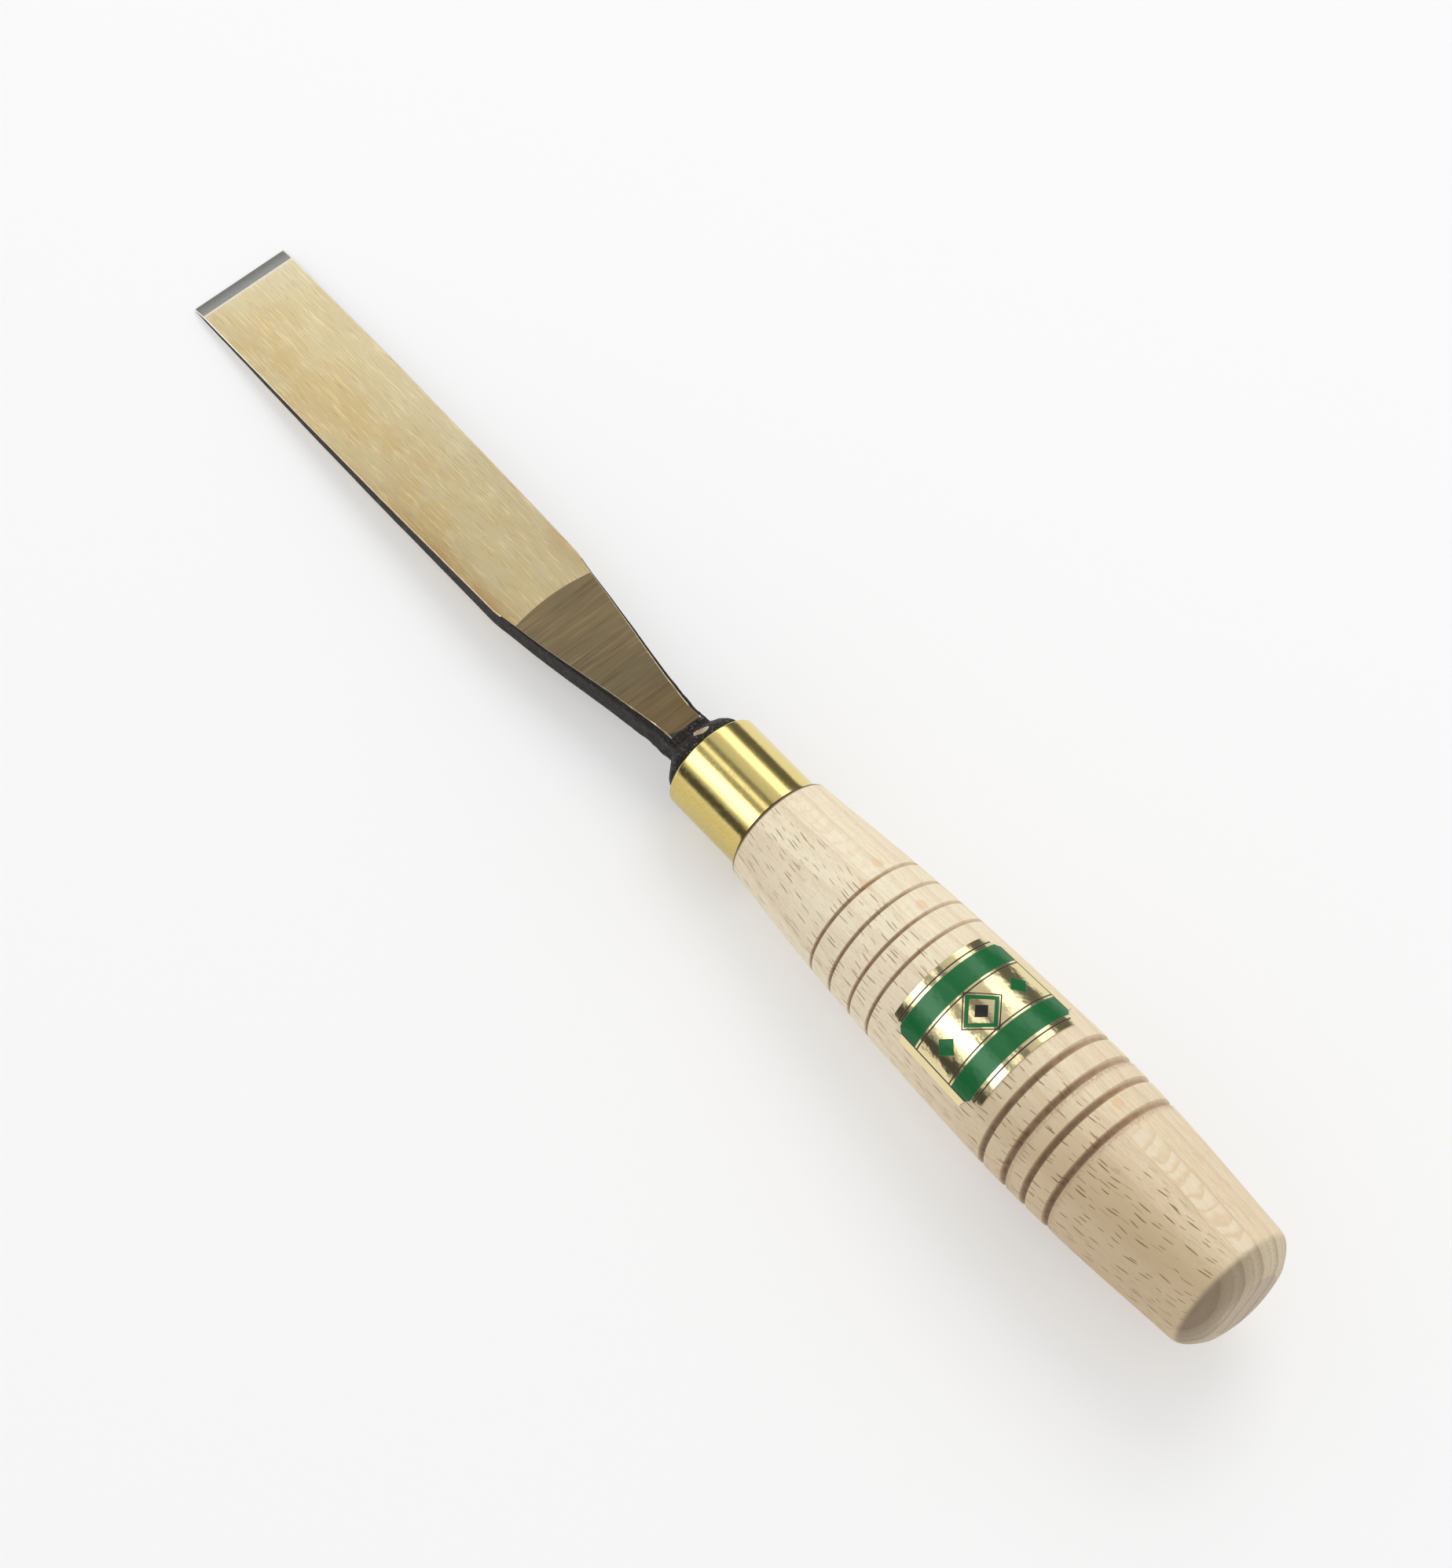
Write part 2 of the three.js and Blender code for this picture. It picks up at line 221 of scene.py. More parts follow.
class Graph:
    """Adds shader nodes to one node tree.

    Any input can be a number, a colour or another node's output."""

    def __init__(self, tree):
        self.tree = tree

    def node(self, kind, inputs=None, **settings):
        node = self.tree.nodes.new("ShaderNode" + kind)
        for key, value in settings.items():
            setattr(node, key, value)
        for key, value in (inputs or {}).items():
            self.feed(node.inputs[key], value)
        return node

    def feed(self, socket, value):
        if isinstance(value, bpy.types.NodeSocket):
            self.tree.links.new(value, socket)
        elif value is not None:
            socket.default_value = value

    def math(self, operation, a, b=None):
        node = self.node("Math", operation=operation)
        self.feed(node.inputs[0], a)
        self.feed(node.inputs[1], b)
        return node.outputs[0]

    def add(self, a, b):
        return self.math("ADD", a, b)

    def minus(self, a, b):
        return self.math("SUBTRACT", a, b)

    def times(self, a, b):
        return self.math("MULTIPLY", a, b)

    def most(self, *values):
        """The largest of the values."""
        largest = values[0]
        for value in values[1:]:
            largest = self.math("MAXIMUM", largest, value)
        return largest

    def length(self, a, b):
        return self.math("SQRT", self.add(self.times(a, a), self.times(b, b)))

    def step(self, value, low, high, start=0.0, end=1.0):
        """Goes smoothly from start to end while value goes from low to high."""
        inputs = {"Value": value, "From Min": low, "From Max": high, "To Min": start, "To Max": end}
        return self.node("MapRange", inputs, interpolation_type="SMOOTHSTEP").outputs[0]

    def band(self, value, centre, half_width, soft):
        """1 where value is within half_width of centre."""
        away = self.math("ABSOLUTE", self.minus(value, centre))
        return self.step(away, half_width - soft, half_width + soft, 1.0, 0.0)

    def mix(self, factor, a, b, blend="MIX"):
        inputs = {0: factor, 6: a, 7: b}
        return self.node("Mix", inputs, data_type="RGBA", blend_type=blend).outputs[2]

    def vector_math(self, operation, a, b=(0, 0, 0), output="Vector"):
        return self.node("VectorMath", {0: a, 1: b}, operation=operation).outputs[output]

    def stretch(self, vector, x, y, z):
        return self.vector_math("MULTIPLY", vector, (x, y, z))

    def noise(self, vector, x=1.0, y=1.0, z=1.0, detail=2.0, roughness=0.5):
        """Smooth noise, 0 to 1, with x, y and z features in each millimetre."""
        place = self.stretch(vector, x, y, z)
        inputs = {"Vector": place, "Scale": 1.0, "Detail": detail, "Roughness": roughness}
        return self.node("TexNoise", inputs).outputs[0]

    def ramp(self, value, stops):
        node = self.node("ValToRGB", {0: value})
        elements = node.color_ramp.elements
        while len(elements) < len(stops):
            elements.new(1.0)
        for element, (position, colour) in zip(elements, stops):
            element.position = position
            element.color = colour
        return node.outputs[0]

    def millimetres(self):
        """The tool's own coordinates, in millimetres."""
        inputs = {"Vector": self.node("TexCoord").outputs["Object"], "Location": TOOL.to_translation(),
                  "Rotation": TOOL.to_euler(), "Scale": (MM, MM, MM)}
        return self.node("Mapping", inputs, vector_type="TEXTURE").outputs[0]

    def split(self, vector):
        return self.node("SeparateXYZ", {0: vector}).outputs

    def point_value(self, name):
        """A value that the mesh holds for each of its points."""
        node = self.node("Attribute", attribute_name=name, attribute_type="GEOMETRY")
        return node.outputs["Fac"]

    def bump(self, height, depth):
        """Surface relief: height 0 to 1 stands for depth in millimetres."""
        return self.node("Bump", {"Height": height, "Distance": depth * MM, "Strength": 1.0}).outputs[0]


def material(name, metallic, **uniform):
    """A material with one Principled shader, returned with its graph and shader."""
    made = bpy.data.materials.new(name)
    made.use_nodes = True
    shader = made.node_tree.nodes["Principled BSDF"]
    shader.inputs["Metallic"].default_value = metallic
    for key, value in uniform.items():
        shader.inputs[key.replace("_", " ")].default_value = value
    return made, Graph(made.node_tree), shader


def rgb(red, green, blue):
    return (red, green, blue, 1.0)


def grey(level):
    return rgb(level, level, level)


# ---------------------------------------------------------------- steel

STRAW = rgb(0.80, 0.643, 0.355)
PALE_STRAW = rgb(0.83, 0.735, 0.49)
WARM_STRAW = rgb(0.765, 0.595, 0.305)
ORANGE_STRAW = rgb(0.62, 0.40, 0.16)
BRONZE = rgb(0.270, 0.205, 0.110)
PALE_BRONZE = rgb(0.245, 0.192, 0.111)


def scratches(graph, place, along, across):
    """Fine ground lines, 0 dark to 1 light."""
    light = graph.noise(place, along, across, across, 3, 0.6)
    dark = graph.noise(place, along * 1.3, across * 1.2, across * 1.7, 3, 0.6)
    raised = graph.add(0.5, graph.step(light, 0.52, 0.70, 0.0, 0.5))
    return graph.minus(raised, graph.step(dark, 0.52, 0.70, 0.0, 0.5))


def shaded(graph, colour, shade):
    tone = graph.node("CombineColor", {0: shade, 1: shade, 2: shade}).outputs[0]
    return graph.mix(1.0, colour, tone, "MULTIPLY")


def straw_face(graph, place):
    """Colour and lines of the lengthwise-ground faces, tempered to straw."""
    x, y, _ = graph.split(place)
    cloud = graph.noise(place, 0.03, 0.10, 0.10, 2, 0.5)
    mottle = graph.noise(place, 0.16, 0.3, 0.3, 3, 0.55)
    colour = graph.mix(graph.step(cloud, 0.4, 0.62), STRAW, WARM_STRAW)
    pale = graph.add(graph.step(y, -3.0, 9.0, 0.0, 0.55), graph.step(x, -118.0, -131.0, 0.0, 0.5))
    colour = graph.mix(graph.math("MINIMUM", pale, 1.0), colour, PALE_STRAW)
    colour = graph.mix(graph.step(mottle, 0.42, 0.68, 0.0, 0.45), colour, PALE_STRAW)
    low_edge = graph.times(graph.step(y, -6.5, -10.0), graph.step(x, -95.0, -55.0))
    far_corner = graph.times(graph.step(y, 4.0, 9.0), graph.step(x, -58.0, -49.0))
    heat = graph.most(low_edge, graph.times(far_corner, 0.7))
    heat = graph.times(heat, graph.step(mottle, 0.3, 0.6, 0.3, 0.8))
    colour = graph.mix(heat, colour, ORANGE_STRAW)
    lines = scratches(graph, place, 0.17, 3.0)
    # painted shade: the face is darker towards the neck and along its -Y edge
    shade = graph.times(graph.step(x, -128.0, -46.0, 1.09, 0.86), graph.step(y, -9.5, -2.0, 0.93, 1.0))
    shade = graph.times(shade, graph.add(0.80, graph.times(lines, 0.40)))
    return shaded(graph, colour, shade), lines


def bronze_facet(graph, place):
    """Colour and lines of the neck's cross-ground facets."""
    x, y, _ = graph.split(place)
    cloud = graph.noise(place, 0.12, 0.08, 0.08, 2, 0.5)
    colour = graph.mix(graph.step(cloud, 0.4, 0.65), BRONZE, PALE_BRONZE)
    edge = graph.math("ABSOLUTE", graph.minus(y, FACET_LEAN))
    rim = graph.times(graph.step(x, -20.0, -7.0), graph.step(edge, 0.5, 3.2, 0.45, 1.0))
    colour = graph.mix(graph.times(rim, 0.6), colour, rgb(0.27, 0.17, 0.07))
    lines = scratches(graph, place, 2.9, 0.07)
    coarse = graph.noise(place, 1.1, 0.05, 0.05, 2, 0.5)
    shade = graph.add(0.68, graph.times(lines, 0.64))
    shade = graph.times(shade, graph.step(coarse, 0.3, 0.7, 0.93, 1.07))
    # painted shade: the facets darken towards the bolster
    shade = graph.times(shade, graph.step(x, -35.0, -9.0, 1.0, 0.80))
    return shaded(graph, colour, shade), lines


def forge_scale(graph, place):
    """Colour, roughness and relief of black forge scale."""
    x = graph.split(place)["X"]
    lumps = graph.noise(place, 0.8, 0.8, 0.8, 4, 0.65)
    grain = graph.noise(place, 2.4, 2.4, 2.4, 4, 0.7)
    colour = graph.mix(graph.step(lumps, 0.35, 0.7), rgb(0.009, 0.007, 0.006), rgb(0.024, 0.019, 0.017))
    flecks = graph.times(graph.step(grain, 0.55, 0.66), graph.step(x, -10.0, -5.0, 0.3, 0.9))
    colour = graph.mix(flecks, colour, rgb(0.19, 0.17, 0.15))
    rough = graph.step(lumps, 0.3, 0.7, 0.42, 0.66)
    height = graph.add(graph.times(lumps, 0.75), graph.times(grain, 0.25))
    return colour, rough, height


def blade_face():
    """Straw faces and, past a bowed line, bronze facets, which end in scale at the bolster."""
    made, graph, shader = material("blade_ground_faces", 1.0)
    place = graph.millimetres()
    x, y, _ = graph.split(place)
    across = graph.minus(y, FACET_LEAN)
    start = graph.add(FACET_X, graph.times(graph.times(across, across), FACET_BOW / FACET_BOW_Y**2))
    past = graph.step(graph.minus(x, start), -0.06, 0.06)
    end_across = graph.times(graph.minus(y, FACET_END_Y), 1 / FACET_END_HALF_WIDTH)
    end_bow = graph.math("POWER", graph.math("ABSOLUTE", end_across), 4.0)
    end_bow = graph.math("MINIMUM", end_bow, FACET_END_MOST_BOW)
    end = graph.minus(FACET_END_X, end_bow)
    beyond = graph.step(graph.minus(x, end), -0.15, 0.05)
    face, face_lines = straw_face(graph, place)
    facet, facet_lines = bronze_facet(graph, place)
    scale = forge_scale(graph, place)[0]
    face_lines = graph.times(face_lines, graph.minus(1.0, past))
    lines = graph.add(face_lines, graph.times(facet_lines, past))
    colour = graph.mix(beyond, graph.mix(past, face, facet), scale)
    rough = graph.add(graph.times(lines, -0.10), 0.46)
    graph.feed(shader.inputs["Base Color"], colour)
    graph.feed(shader.inputs["Metallic"], graph.minus(1.0, beyond))
    graph.feed(shader.inputs["Roughness"], rough)
    graph.feed(shader.inputs["Normal"], graph.bump(lines, 0.02))
    return made


def blade_bevel():
    made, graph, shader = material("blade_bevel", 1.0)
    place = graph.millimetres()
    x = graph.split(place)["X"]
    cloud = graph.noise(place, 0.6, 0.2, 0.2, 3, 0.6)
    lines = scratches(graph, place, 2.6, 0.7)
    colour = graph.mix(cloud, rgb(0.27, 0.265, 0.25), rgb(0.33, 0.33, 0.32))
    # painted shade: the bevel darkens towards the cutting edge
    shade = graph.step(x, EDGE_X, BEVEL_END_X, 0.72, 1.15)
    shade = graph.times(shade, graph.add(0.9, graph.times(lines, 0.2)))
    graph.feed(shader.inputs["Base Color"], shaded(graph, colour, shade))
    shader.inputs["Roughness"].default_value = 0.36
    graph.feed(shader.inputs["Normal"], graph.bump(lines, 0.01))
    return made


def blade_corner():
    """Worn bright corners: the honed strip behind the bevel, whose near-white colour also paints its
    highlight, the blade's long corners and the nick.
    """
    made, graph, shader = material("blade_bright_corner", 1.0)
    place = graph.millimetres()
    x = graph.split(place)["X"]
    wear = graph.noise(place, 0.7, 2, 2, 3, 0.6)
    on_bolster = graph.step(x, -6.5, -6.0)
    # the honed strip is bare steel, and its near-white colour is a painted highlight as well
    honed = graph.mix(wear, rgb(0.86, 0.77, 0.60), rgb(1.0, 0.95, 0.84))
    nick = graph.mix(wear, rgb(0.92, 0.78, 0.50), rgb(1.0, 0.93, 0.70))
    bright = graph.mix(on_bolster, honed, nick)
    dull = graph.mix(graph.step(x, FACET_X, FACET_X + 1.5), rgb(0.66, 0.52, 0.32), rgb(0.50, 0.42, 0.29))
    dull = graph.mix(graph.step(wear, 0.5, 0.62, 0.0, 0.6), dull, rgb(0.80, 0.68, 0.48))
    faded = graph.times(graph.step(x, -126.0, -98.0), graph.minus(1.0, on_bolster))
    graph.feed(shader.inputs["Base Color"], graph.mix(faded, bright, dull))
    shader.inputs["Roughness"].default_value = 0.34
    return made


def black_scale():
    made, graph, shader = material("blade_forge_scale", 0.0, Specular_IOR_Level=0.16)
    place = graph.millimetres()
    colour, rough, height = forge_scale(graph, place)
    graph.feed(shader.inputs["Base Color"], colour)
    graph.feed(shader.inputs["Roughness"], rough)
    graph.feed(shader.inputs["Normal"], graph.bump(height, 0.3))
    return made


# one cross-section has four corners, two flat faces and two sides, and this many points in each
CORNER_POINTS = 9
FLAT_POINTS = 61
SIDE_POINTS = 5
FACE, BEVEL, CORNER, SCALE, OUTER_CORNER = range(5)


def half_thickness(x, y):
    """Half the thickness of the blade and of the neck's facets."""
    taper = (SHOULDER_THICKNESS - HEEL_THICKNESS) / 2 / (SHOULDER_X - HEEL_X)
    outline = [(EDGE_X, 0), (BEVEL_END_X, BEVEL_END_THICKNESS / 2), (HEEL_X, HEEL_THICKNESS / 2)]
    tip = np.interp(x, *np.array(outline).T)
    plain = HEEL_THICKNESS / 2 + taper * (x - HEEL_X)
    start = FACET_X + FACET_BOW * (y / FACET_BOW_Y) ** 2
    at_start = HEEL_THICKNESS / 2 + taper * (start - HEEL_X)
    rise = (FACET_END_THICKNESS / 2 - at_start) / (FACET_STEADY_X - start)
    facet = at_start + rise * (np.minimum(x, FACET_STEADY_X) - start)
    return np.where(x < HEEL_X, tip, np.where(x < start, plain, facet))


def half_width(x):
    if x < SHOULDER_X:
        return float(np.interp(x, *np.array(BLADE_HALF_WIDTHS).T))
    return float(spline(NECK_HALF_WIDTHS, x))


def forging_ring(x):
    """One cross-section of the blade or neck."""
    along = min(max((x - SHOULDER_X) / (FACET_STEADY_X - SHOULDER_X), 0), 1)
    round_y = BLADE_CORNER + (NECK_CORNER - BLADE_CORNER) * along
    corner_y = half_width(x) - round_y
    top = float(half_thickness(x, corner_y))
    round_z = min(round_y, top)
    angle = np.linspace(0, np.pi / 2, CORNER_POINTS)
    corner = np.stack([corner_y + round_y * np.cos(angle), top - round_z + round_z * np.sin(angle)], -1)
    flat_y = np.linspace(corner_y, -corner_y, FLAT_POINTS + 2)[1:-1]
    flat = np.stack([flat_y, half_thickness(x, flat_y)], -1)
    side_z = np.linspace(top - round_z, round_z - top, SIDE_POINTS + 2)[1:-1]
    side = np.stack([np.full(SIDE_POINTS, -corner_y - round_y), side_z], -1)
    half = np.concatenate([corner, flat, corner[::-1] * (-1, 1), side])
    ring = np.concatenate([half, -half])
    return np.column_stack([np.full(len(ring), x), ring])


def column_kinds():
    """For each stretch between neighbouring points of a ring: is it flat face, corner or side?"""
    rounding = [OUTER_CORNER] * (CORNER_POINTS - 2) + [CORNER]
    half = rounding + [FACE] * (FLAT_POINTS + 1) + rounding[::-1] + [SCALE] * (SIDE_POINTS + 1)
    return np.array(half * 2)


def ring_at(x, radius, angle):
    """Points at the given radii and angles round X."""
    return np.column_stack([np.full(len(angle), x), radius * np.cos(angle), radius * np.sin(angle)])


def bolster_rings(neck):
    """The neck's last ring swells into the bolster's dome and straight foot."""
    angle = np.arctan2(neck[:, 2], neck[:, 1])
    radius = np.hypot(neck[:, 1], neck[:, 2])
    rise = np.radians(np.linspace(0, 90, 46))
    stations = np.concatenate([
        np.arange(FACET_STEADY_X + 0.2, -BOLSTER_FOOT - BOLSTER_HEIGHT - 0.05, 0.2),
        -BOLSTER_FOOT - BOLSTER_HEIGHT * np.cos(rise),
        [-BOLSTER_FOOT / 2, 0],
    ])
    rings = []
    for x in stations:
        reach = min(max(-(x + BOLSTER_FOOT) / BOLSTER_HEIGHT, 0), 1)
        dome = BOLSTER_RADIUS * math.sqrt(1 - reach**2)
        blend = (radius**BOLSTER_BLEND + dome**BOLSTER_BLEND) ** (1 / BOLSTER_BLEND)
        rings.append(ring_at(x, np.minimum(blend, BOLSTER_RADIUS), angle))
    return np.array(rings)


def tang_rings(neck):
    """A tapered square bar that ends inside the handle, closed at its end."""
    angle = np.arctan2(neck[:, 2], neck[:, 1])
    square = 1 / np.maximum(abs(np.cos(angle)), abs(np.sin(angle)))
    rings = []
    for x, width in ((0, TANG_ROOT), (TANG_LENGTH, TANG_TIP), (TANG_LENGTH, 0)):
        rings.append(ring_at(x, square * width / 2, angle))
    return np.array(rings)


def grind_nick(rings):
    """Flattens a small lens-shaped spot on the bolster, and says which points it moved."""
    x, y = NICK
    reach = -(x + BOLSTER_FOOT) / BOLSTER_HEIGHT
    top = np.array([x, y, BOLSTER_RADIUS * math.sqrt(1 - reach**2)])
    normal = np.array([-reach / BOLSTER_HEIGHT, 0, top[2] / BOLSTER_RADIUS**2])
    normal /= np.linalg.norm(normal)
    above = np.maximum((rings - top) @ normal + NICK_DEPTH, 0)
    along, across, up = np.moveaxis(rings - top, -1, 0)
    half_x, half_y = NICK_HALF_SIZE
    above[(np.abs(along) / half_x + (across / half_y) ** 2 > 1) | (up < -2)] = 0
    return rings - above[..., None] * normal, above > 0


def blade_zones(kinds, middle, nicked, first):
    """The material of each face: kinds by column, middle x of each row, and the nick's rows."""
    zones = np.tile(kinds, (len(middle), 1))
    zones[(middle < BEVEL_END_X)[:, None] & (zones == FACE)] = BEVEL
    honed = (middle > BEVEL_END_X) & (middle < HEEL_X)
    zones[honed[:, None] & (zones == FACE)] = CORNER
    zones[(middle > SHOULDER_X + 2)[:, None] & (zones == OUTER_CORNER)] = SCALE
    zones[zones == OUTER_CORNER] = CORNER
    zones[middle > FACET_END_X + 0.2] = SCALE
    zones[first:first + len(nicked) - 1][nicked[:-1] & nicked[1:]] = CORNER
    return zones


def roughened(rings, kinds, nicked, first):
    """Hammer-rough scale: strongest on the neck and bolster, faint on the blade's sides."""
    x = rings[:, 0, 0]
    scaly = (kinds != FACE) & (np.roll(kinds, 1) != FACE)
    depth = 0.03 + 0.20 * smoothstep(-22, -6, x)
    depth[x > -0.5] = 0   # the foot and the tang are plain
    depth[:3] = 0         # so is the ground tip
    amount = depth[:, None] * np.where(rings[:, :1, 0] > FACET_END_X, 1.0, scaly[None, :])
    amount[first:first + len(nicked)][nicked] = 0
    outward = rings * (0, 1, 1)
    outward /= np.linalg.norm(outward, axis=-1, keepdims=True) + 1e-9
    relief = bumps(rings, 2.6) + 0.5 * bumps(rings + 40, 1.1)
    return rings + outward * (amount * relief)[..., None]


def blade():
    stations = np.concatenate([
        [EDGE_X, BEVEL_END_X, HEEL_X],
        np.arange(HEEL_X + 1.5, SHOULDER_X - 0.2, 1.5),
        np.arange(SHOULDER_X, FACET_STEADY_X + 0.01, 0.3),
    ])
    forging = np.array([forging_ring(x) for x in stations])
    bolster, nicked = grind_nick(bolster_rings(forging[-1]))
    rings = np.concatenate([forging, bolster, tang_rings(forging[-1])])
    kinds = column_kinds()
    middle = (rings[:-1, 0, 0] + rings[1:, 0, 0]) / 2
    zones = blade_zones(kinds, middle, nicked, len(forging))
    rings = roughened(rings, kinds, nicked, len(forging))
    rings[..., 1] += spline(LEAN, rings[..., 0])
    materials = [blade_face(), blade_bevel(), blade_corner(), black_scale()]
    return closed_piece("blade_forging", rings, "blade", materials, zones, sharp=25)


# ---------------------------------------------------------------- brass ferrule


def brass():
    made, graph, shader = material("ferrule_polished_brass", 1.0)
    place = graph.millimetres()
    y = graph.split(place)["Y"]
    cloud = graph.noise(place, 0.12, 0.3, 0.3, 4, 0.6)
    specks = graph.noise(place, 2.2, 2.2, 2.2, 4, 0.7)
    draw = graph.noise(place, 0.2, 4.5, 4.5, 3, 0.6)
    colour = graph.mix(cloud, rgb(0.80, 0.63, 0.21), rgb(0.86, 0.72, 0.31))
    colour = graph.mix(graph.step(specks, 0.62, 0.75), colour, rgb(0.55, 0.42, 0.15))
    # painted shade: the low -Y flank's reflection is darkened, patchy with the specks
    painted_flank_shade = graph.times(graph.step(y, -7.0, -8.6), graph.step(specks, 0.35, 0.65, 0.7, 1.0))
    colour = graph.mix(painted_flank_shade, colour, rgb(0.60, 0.47, 0.15))
    rough = graph.add(graph.step(specks, 0.4, 0.8, 0.10, 0.24), graph.times(cloud, 0.06))
    height = graph.add(graph.times(draw, 0.7), graph.times(specks, 0.3))
    graph.feed(shader.inputs["Base Color"], colour)
    graph.feed(shader.inputs["Roughness"], rough)
    graph.feed(shader.inputs["Normal"], graph.bump(height, 0.006))
    return made


def ferrule():
    inner = FERRULE_RADIUS - FERRULE_WALL
    outer = FERRULE_RADIUS - FERRULE_EDGE
    front = arc(FERRULE_EDGE, outer, FERRULE_EDGE, 180, 90, 6)
    back = arc(FERRULE_LENGTH - FERRULE_EDGE, outer, FERRULE_EDGE, 90, 0, 6)
    body = [(x, FERRULE_RADIUS) for x in np.linspace(0.8, FERRULE_LENGTH - 0.8, 24)]
    profile = [(0, inner), *front, *body, *back, (FERRULE_LENGTH, inner), (0, inner)]
    rings = revolve(profile, FERRULE_SEGMENTS)
    return closed_piece("ferrule_tube", rings, "ferrule", [brass()])


# ---------------------------------------------------------------- beech handle

PITH_Y, PITH_Z = -22.0, 18.0   # the tree's centre line, beside the handle
RING_WIDTH = 4.2
RING_START = 2.2
FRONT_X, REAR_X = 45.0, 112.0  # between these the wood changes from its front colours to its rear ones
# the rays' dark dashes: one in each cell of a grid along and round the handle
RAY_CELL = (3.3, 0.95)         # the cell's length and width
RAY_FIT = (2.35, 8.2)          # the cell's length and width, over half of the dash's
RAY_TURN = 0.236               # millimetres round the handle for one degree
RAY_LEVEL_X = 70.0             # the dashes lie level here, and slant more and more away from it
RAY_SLANT = 0.0015
# the silver figure, where the surface cuts the rings square
SILVER_TURN = 12.5             # degrees from the top towards +Y
SILVER_HALF_WIDTH = 8.5        # degrees
SILVER_PITCH = 2.9             # from one arc to the next
# pale orange pitch spots: distance along the tool and degrees from the top towards +Y
PITCH_SPOTS = [(37.5, 20.0), (48.3, 19.0), (95.6, 15.0), (39.6, -1.5)]
PITCH_SPOT_SIZE = (1.15, 4.8)  # half a spot's length, and its degrees to either side


def wood_rays(graph, x, turn, place):
    """Thin dark dashes along the grain, where the surface cuts across the ends of the wood's rays."""
    from_level = graph.minus(x, RAY_LEVEL_X)
    slant = graph.times(graph.times(from_level, from_level), RAY_SLANT)
    warp = graph.times(graph.noise(place, 0.12, 0.12, 0.12, 1, 0.5), 2.0)
    around = graph.minus(graph.add(graph.times(turn, RAY_TURN), warp), slant)
    across = {0: graph.times(x, 1 / RAY_CELL[0]), 1: graph.times(around, 1 / RAY_CELL[1])}
    cell_place = graph.node("CombineXYZ", across).outputs[0]
    inputs = {"Vector": cell_place, "Scale": 1.0, "Randomness": 0.9}
    cells = graph.node("TexVoronoi", inputs, voronoi_dimensions="2D").outputs
    away = graph.vector_math("SUBTRACT", cell_place, cells["Position"])
    lens = graph.vector_math("LENGTH", graph.stretch(away, *RAY_FIT, 0.0), output="Value")
    strength, size, _ = graph.split(cells["Color"])
    lens = graph.math("DIVIDE", lens, graph.step(size, 0.0, 1.0, 0.5, 1.2))
    return graph.times(graph.step(lens, 0.6, 1.0, 1.0, 0.0), graph.step(strength, 0.15, 0.75))


def silver_figure(graph, colour, x, turn, place):
    """Adds a pale band of stacked arcs between two thin ring lines."""
    from_middle = graph.times(graph.minus(turn, SILVER_TURN), 1 / SILVER_HALF_WIDTH)
    bow = graph.times(graph.times(from_middle, from_middle), 0.9)
    wander = graph.times(graph.noise(place, 0.25, 0.25, 0.25, 2, 0.5), 6.0)
    phase = graph.add(graph.add(x, bow), wander)
    phase = graph.math("FRACT", graph.times(phase, 1 / SILVER_PITCH))
    arcs = graph.times(graph.step(phase, 0.3, 0.8), graph.step(phase, 0.8, 0.92, 1.0, 0.0))
    aside = graph.math("ABSOLUTE", from_middle)
    shown = graph.most(graph.step(x, 97.0, 103.0), graph.step(x, 34.0, 40.0, 0.35, 0.1))
    silver = graph.times(graph.step(aside, 0.8, 1.05, 1.0, 0.0), shown)
    edges = graph.band(aside, 1.03, 0.025, 0.045)
    colour = graph.mix(graph.times(silver, 0.32), colour, rgb(0.93, 0.84, 0.66))
    colour = graph.mix(graph.times(graph.times(arcs, silver), 0.5), colour, rgb(0.66, 0.46, 0.25))
    return graph.mix(graph.times(edges, 0.42), colour, rgb(0.52, 0.35, 0.20))


def pitch_spots(graph, colour, x, turn):
    for spot_x, spot_turn in PITCH_SPOTS:
        off_x = graph.times(graph.minus(x, spot_x), 1 / PITCH_SPOT_SIZE[0])
        off_turn = graph.times(graph.minus(turn, spot_turn), 1 / PITCH_SPOT_SIZE[1])
        spot = graph.step(graph.length(off_x, off_turn), 0.75, 1.1, 0.42, 0.0)
        colour = graph.mix(spot, colour, rgb(0.80, 0.47, 0.24))
    return colour


def late_wood(graph, fibre_y, z):
    """The dark part of the growth rings, 0 to 1.  The rings are shells round the pith."""
    depth = graph.length(graph.minus(fibre_y, PITH_Y), graph.minus(z, PITH_Z))
    ring = graph.math("FRACT", graph.times(graph.minus(depth, RING_START), 1 / RING_WIDTH))
    late = graph.times(graph.step(ring, 0.55, 0.96), graph.step(ring, 0.965, 1.0, 1.0, 0.0))
    return graph.add(graph.times(late, 0.75), graph.times(graph.band(ring, 0.42, 0.06, 0.05), 0.3))


